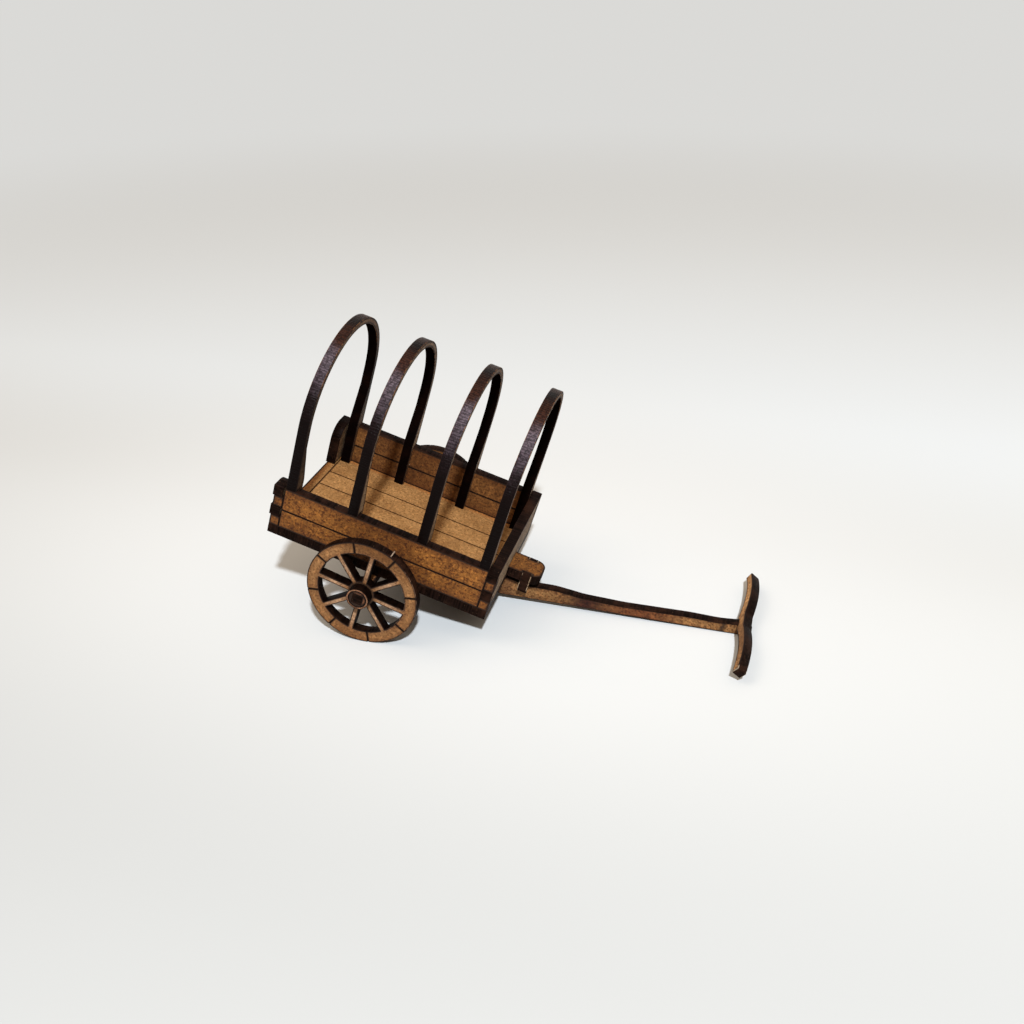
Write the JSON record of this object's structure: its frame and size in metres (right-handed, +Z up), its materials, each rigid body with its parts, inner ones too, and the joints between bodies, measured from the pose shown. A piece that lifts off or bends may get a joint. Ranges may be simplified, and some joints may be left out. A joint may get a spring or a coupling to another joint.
{
  "type": "miniature ox cart",
  "caption": "Small laser-cut board model of a two-wheeled ox cart with spoked wheels, a plank bed, open tilt hoops, and a drawbar with a wavy yoke, resting nose-down.",
  "frame": {"origin": "centre of the bounding box on the ground, with the cart resting on its wheels and the drawbar's nose", "axes": "+X forward towards the yoke, +Y to the cart's left along the axle, +Z up"},
  "size_m": [0.094, 0.0476, 0.0577],
  "materials": {
    "board": "tan laser-cut fibreboard, mottled, with scorched edges",
    "charred_board": "the same board seen mostly by its burned edges"
  },
  "bodies": {
    "cart": {"floor_plate": "board", "side_panel_left": "board", "side_panel_right": "board", "front_panel": "board", "rear_post_left": "board", "rear_post_right": "board", "hoop_rear": "charred_board", "hoop_mid_rear": "charred_board", "hoop_mid_front": "charred_board", "hoop_front": "charred_board", "axle": "board", "axle_bearer_left": "board", "axle_bearer_right": "board", "axle_bush_left": "board", "axle_bush_right": "board", "front_tab": "board", "drawbar": "board", "drawbar_bracket": "board", "yoke": "board"},
    "left_wheel": {"wheel_left": "board", "nave_ring_left": "board"},
    "right_wheel": {"wheel_right": "board", "nave_ring_right": "board"}
  },
  "joints": [
    {"name": "left_wheel_spin", "type": "hinge", "parent": "cart", "child": "left_wheel", "pos_m": [-0.02591, 0.0208, 0.01115], "axis": [0, 1, 0], "continuous": true},
    {"name": "right_wheel_spin", "type": "hinge", "parent": "cart", "child": "right_wheel", "pos_m": [-0.02591, -0.0208, 0.01115], "axis": [0, 1, 0], "continuous": true}
  ]
}
